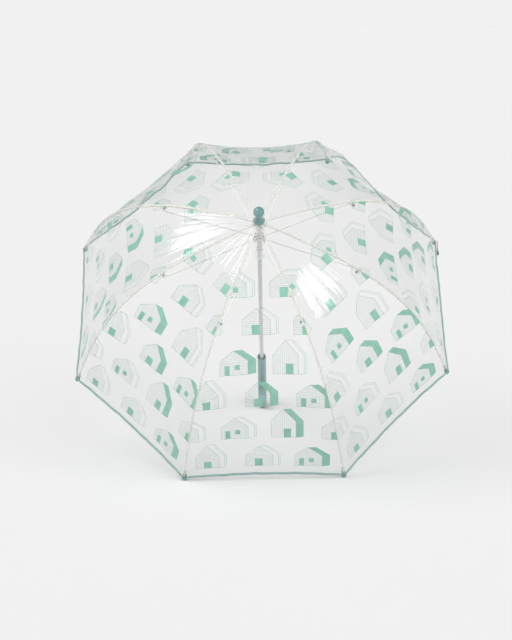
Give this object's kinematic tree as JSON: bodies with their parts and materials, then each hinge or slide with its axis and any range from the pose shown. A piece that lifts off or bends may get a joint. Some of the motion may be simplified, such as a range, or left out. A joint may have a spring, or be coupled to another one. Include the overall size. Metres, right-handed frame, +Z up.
{
  "type": "clear bubble umbrella",
  "caption": "Child's clear dome umbrella lying open, with a printed film canopy on ribs, a folding runner frame and a crook handle.",
  "frame": {"origin": "on the floor, under the middle of the lying umbrella", "axes": "+Z up; +X across the canopy; -Y the side that the crown points to, with the shaft at 42 degrees above the floor and the crook towards +Y"},
  "size_m": [0.654, 0.5254, 0.5372],
  "materials": {
    "clear_film": "clear soft film, glossy, printed with small houses in mint",
    "hem_tape": "teal binding tape",
    "teal_plastic": "satin grey-teal moulding",
    "fibreglass": "cream",
    "white_plastic": "translucent white moulding",
    "painted_shaft": "light grey paint",
    "bright_steel": "bright",
    "dark_metal": "dark enamel"
  },
  "bodies": {
    "shaft": {"shaft": "painted_shaft", "finial": "teal_plastic", "crown_washer": "white_plastic", "crown_notch": "white_plastic", "crown_wire": "bright_steel", "handle": "teal_plastic"},
    "runner": {"runner": "white_plastic", "runner_wire": "bright_steel"},
    "top_catch": {"top_catch": "bright_steel"},
    "bottom_catch": {"bottom_catch": "bright_steel"},
    "rib_1": {"rib_1": "fibreglass", "tip_1": "teal_plastic", "rib_joint_1": "bright_steel"},
    "stretcher_1": {"stretcher_1": "fibreglass"},
    "panel_1": {"panel_1": "clear_film", "hem_1": "hem_tape"},
    "rib_2": {"rib_2": "fibreglass", "tip_2": "teal_plastic", "rib_joint_2": "bright_steel"},
    "stretcher_2": {"stretcher_2": "fibreglass"},
    "panel_2": {"panel_2": "clear_film", "hem_2": "hem_tape"},
    "rib_3": {"rib_3": "fibreglass", "tip_3": "teal_plastic", "rib_joint_3": "bright_steel"},
    "stretcher_3": {"stretcher_3": "fibreglass"},
    "panel_3": {"panel_3": "clear_film", "hem_3": "hem_tape"},
    "rib_4": {"rib_4": "fibreglass", "tip_4": "teal_plastic", "rib_joint_4": "bright_steel", "closure_strap": "hem_tape", "strap_snap": "dark_metal"},
    "stretcher_4": {"stretcher_4": "fibreglass"},
    "panel_4": {"panel_4": "clear_film", "hem_4": "hem_tape"},
    "rib_5": {"rib_5": "fibreglass", "tip_5": "teal_plastic", "rib_joint_5": "bright_steel"},
    "stretcher_5": {"stretcher_5": "fibreglass"},
    "panel_5": {"panel_5": "clear_film", "hem_5": "hem_tape"},
    "rib_6": {"rib_6": "fibreglass", "tip_6": "teal_plastic", "rib_joint_6": "bright_steel"},
    "stretcher_6": {"stretcher_6": "fibreglass"},
    "panel_6": {"panel_6": "clear_film", "hem_6": "hem_tape"},
    "rib_7": {"rib_7": "fibreglass", "tip_7": "teal_plastic", "rib_joint_7": "bright_steel"},
    "stretcher_7": {"stretcher_7": "fibreglass"},
    "panel_7": {"panel_7": "clear_film", "hem_7": "hem_tape"},
    "rib_8": {"rib_8": "fibreglass", "tip_8": "teal_plastic", "rib_joint_8": "bright_steel"},
    "stretcher_8": {"stretcher_8": "fibreglass"},
    "panel_8": {"panel_8": "clear_film", "hem_8": "hem_tape"}
  },
  "joints": [
    {"name": "runner_slide", "type": "slide", "parent": "shaft", "child": "runner", "axis": [0, 0.7436, -0.6687], "range_m": [0, 0.247]},
    {"name": "rib_1_fold", "type": "hinge", "parent": "shaft", "child": "rib_1", "pos_m": [-0.00514, -0.1816, 0.42251], "axis": [0.9239, -0.2559, -0.2845], "range_deg": [0, 45.74]},
    {"name": "stretcher_1_fold", "type": "hinge", "parent": "runner", "child": "stretcher_1", "pos_m": [-0.00491, -0.15044, 0.39524], "axis": [-0.9239, 0.2559, 0.2845], "range_deg": [0, 62.51]},
    {"name": "panel_1_fold", "type": "hinge", "parent": "shaft", "child": "panel_1", "pos_m": [-0.00208, -0.1816, 0.42251], "axis": [1, 0, 0], "range_deg": [0, 43.9], "deforming": ["panel_1", "hem_1"]},
    {"name": "rib_2_fold", "type": "hinge", "parent": "shaft", "child": "rib_2", "pos_m": [0.00098, -0.1816, 0.42251], "axis": [0.9239, 0.2559, 0.2845], "range_deg": [0, 45.74]},
    {"name": "stretcher_2_fold", "type": "hinge", "parent": "runner", "child": "stretcher_2", "pos_m": [0.00075, -0.15044, 0.39524], "axis": [-0.9239, -0.2559, -0.2845], "range_deg": [0, 62.51]},
    {"name": "panel_2_fold", "type": "hinge", "parent": "shaft", "child": "panel_2", "pos_m": [0.00315, -0.18015, 0.42412], "axis": [0.7071, 0.4728, 0.5258], "range_deg": [0, 43.9], "deforming": ["panel_2", "hem_2"]},
    {"name": "rib_3_fold", "type": "hinge", "parent": "shaft", "child": "rib_3", "pos_m": [0.00531, -0.1787, 0.42573], "axis": [0.3827, 0.6178, 0.687], "range_deg": [0, 45.74]},
    {"name": "stretcher_3_fold", "type": "hinge", "parent": "runner", "child": "stretcher_3", "pos_m": [0.00476, -0.14776, 0.39822], "axis": [-0.3827, -0.6178, -0.687], "range_deg": [0, 62.51]},
    {"name": "panel_3_fold", "type": "hinge", "parent": "shaft", "child": "panel_3", "pos_m": [0.00531, -0.17665, 0.42801], "axis": [0, 0.6687, 0.7436], "range_deg": [0, 43.9], "deforming": ["panel_3", "hem_3"]},
    {"name": "rib_4_fold", "type": "hinge", "parent": "shaft", "child": "rib_4", "pos_m": [0.00531, -0.17461, 0.43029], "axis": [-0.3827, 0.6178, 0.687], "range_deg": [0, 45.74]},
    {"name": "stretcher_4_fold", "type": "hinge", "parent": "runner", "child": "stretcher_4", "pos_m": [0.00476, -0.14398, 0.40243], "axis": [0.3827, -0.6178, -0.687], "range_deg": [0, 62.51]},
    {"name": "panel_4_fold", "type": "hinge", "parent": "shaft", "child": "panel_4", "pos_m": [0.00315, -0.17316, 0.4319], "axis": [-0.7071, 0.4728, 0.5258], "range_deg": [0, 43.9], "deforming": ["panel_4", "hem_4"]},
    {"name": "rib_5_fold", "type": "hinge", "parent": "shaft", "child": "rib_5", "pos_m": [0.00098, -0.17171, 0.43351], "axis": [-0.9239, 0.2559, 0.2845], "range_deg": [0, 45.74]},
    {"name": "stretcher_5_fold", "type": "hinge", "parent": "runner", "child": "stretcher_5", "pos_m": [0.00075, -0.1413, 0.40541], "axis": [0.9239, -0.2559, -0.2845], "range_deg": [0, 62.51]},
    {"name": "panel_5_fold", "type": "hinge", "parent": "shaft", "child": "panel_5", "pos_m": [-0.00208, -0.17171, 0.43351], "axis": [-1, 0, 0], "range_deg": [0, 43.9], "deforming": ["panel_5", "hem_5"]},
    {"name": "rib_6_fold", "type": "hinge", "parent": "shaft", "child": "rib_6", "pos_m": [-0.00514, -0.17171, 0.43351], "axis": [-0.9239, -0.2559, -0.2845], "range_deg": [0, 45.74]},
    {"name": "stretcher_6_fold", "type": "hinge", "parent": "runner", "child": "stretcher_6", "pos_m": [-0.00491, -0.1413, 0.40541], "axis": [0.9239, 0.2559, 0.2845], "range_deg": [0, 62.51]},
    {"name": "panel_6_fold", "type": "hinge", "parent": "shaft", "child": "panel_6", "pos_m": [-0.00731, -0.17316, 0.4319], "axis": [-0.7071, -0.4728, -0.5258], "range_deg": [0, 43.9], "deforming": ["panel_6", "hem_6"]},
    {"name": "rib_7_fold", "type": "hinge", "parent": "shaft", "child": "rib_7", "pos_m": [-0.00947, -0.17461, 0.43029], "axis": [-0.3827, -0.6178, -0.687], "range_deg": [0, 45.74]},
    {"name": "stretcher_7_fold", "type": "hinge", "parent": "runner", "child": "stretcher_7", "pos_m": [-0.00892, -0.14398, 0.40243], "axis": [0.3827, 0.6178, 0.687], "range_deg": [0, 62.51]},
    {"name": "panel_7_fold", "type": "hinge", "parent": "shaft", "child": "panel_7", "pos_m": [-0.00947, -0.17665, 0.42801], "axis": [0, -0.6687, -0.7436], "range_deg": [0, 43.9], "deforming": ["panel_7", "hem_7"]},
    {"name": "rib_8_fold", "type": "hinge", "parent": "shaft", "child": "rib_8", "pos_m": [-0.00947, -0.1787, 0.42573], "axis": [0.3827, -0.6178, -0.687], "range_deg": [0, 45.74]},
    {"name": "stretcher_8_fold", "type": "hinge", "parent": "runner", "child": "stretcher_8", "pos_m": [-0.00892, -0.14776, 0.39822], "axis": [-0.3827, 0.6178, 0.687], "range_deg": [0, 62.51]},
    {"name": "panel_8_fold", "type": "hinge", "parent": "shaft", "child": "panel_8", "pos_m": [-0.00731, -0.18015, 0.42412], "axis": [0.7071, -0.4728, -0.5258], "range_deg": [0, 43.9], "deforming": ["panel_8", "hem_8"]},
    {"name": "top_catch_press", "type": "slide", "parent": "shaft", "child": "top_catch", "axis": [0, -0.6687, -0.7436], "range_m": [0, 0.0022], "stiffness_N_per_m": 300},
    {"name": "bottom_catch_press", "type": "slide", "parent": "shaft", "child": "bottom_catch", "axis": [0, -0.6687, -0.7436], "range_m": [0, 0.0022], "stiffness_N_per_m": 300}
  ],
  "couplings": [
    {"joint": "rib_1_fold", "follows": "runner_slide", "rad_per_m": 3.232},
    {"joint": "stretcher_1_fold", "follows": "runner_slide", "rad_per_m": 4.417},
    {"joint": "panel_1_fold", "follows": "runner_slide", "rad_per_m": 3.102},
    {"joint": "rib_2_fold", "follows": "runner_slide", "rad_per_m": 3.232},
    {"joint": "stretcher_2_fold", "follows": "runner_slide", "rad_per_m": 4.417},
    {"joint": "panel_2_fold", "follows": "runner_slide", "rad_per_m": 3.102},
    {"joint": "rib_3_fold", "follows": "runner_slide", "rad_per_m": 3.232},
    {"joint": "stretcher_3_fold", "follows": "runner_slide", "rad_per_m": 4.417},
    {"joint": "panel_3_fold", "follows": "runner_slide", "rad_per_m": 3.102},
    {"joint": "rib_4_fold", "follows": "runner_slide", "rad_per_m": 3.232},
    {"joint": "stretcher_4_fold", "follows": "runner_slide", "rad_per_m": 4.417},
    {"joint": "panel_4_fold", "follows": "runner_slide", "rad_per_m": 3.102},
    {"joint": "rib_5_fold", "follows": "runner_slide", "rad_per_m": 3.232},
    {"joint": "stretcher_5_fold", "follows": "runner_slide", "rad_per_m": 4.417},
    {"joint": "panel_5_fold", "follows": "runner_slide", "rad_per_m": 3.102},
    {"joint": "rib_6_fold", "follows": "runner_slide", "rad_per_m": 3.232},
    {"joint": "stretcher_6_fold", "follows": "runner_slide", "rad_per_m": 4.417},
    {"joint": "panel_6_fold", "follows": "runner_slide", "rad_per_m": 3.102},
    {"joint": "rib_7_fold", "follows": "runner_slide", "rad_per_m": 3.232},
    {"joint": "stretcher_7_fold", "follows": "runner_slide", "rad_per_m": 4.417},
    {"joint": "panel_7_fold", "follows": "runner_slide", "rad_per_m": 3.102},
    {"joint": "rib_8_fold", "follows": "runner_slide", "rad_per_m": 3.232},
    {"joint": "stretcher_8_fold", "follows": "runner_slide", "rad_per_m": 4.417},
    {"joint": "panel_8_fold", "follows": "runner_slide", "rad_per_m": 3.102}
  ]
}
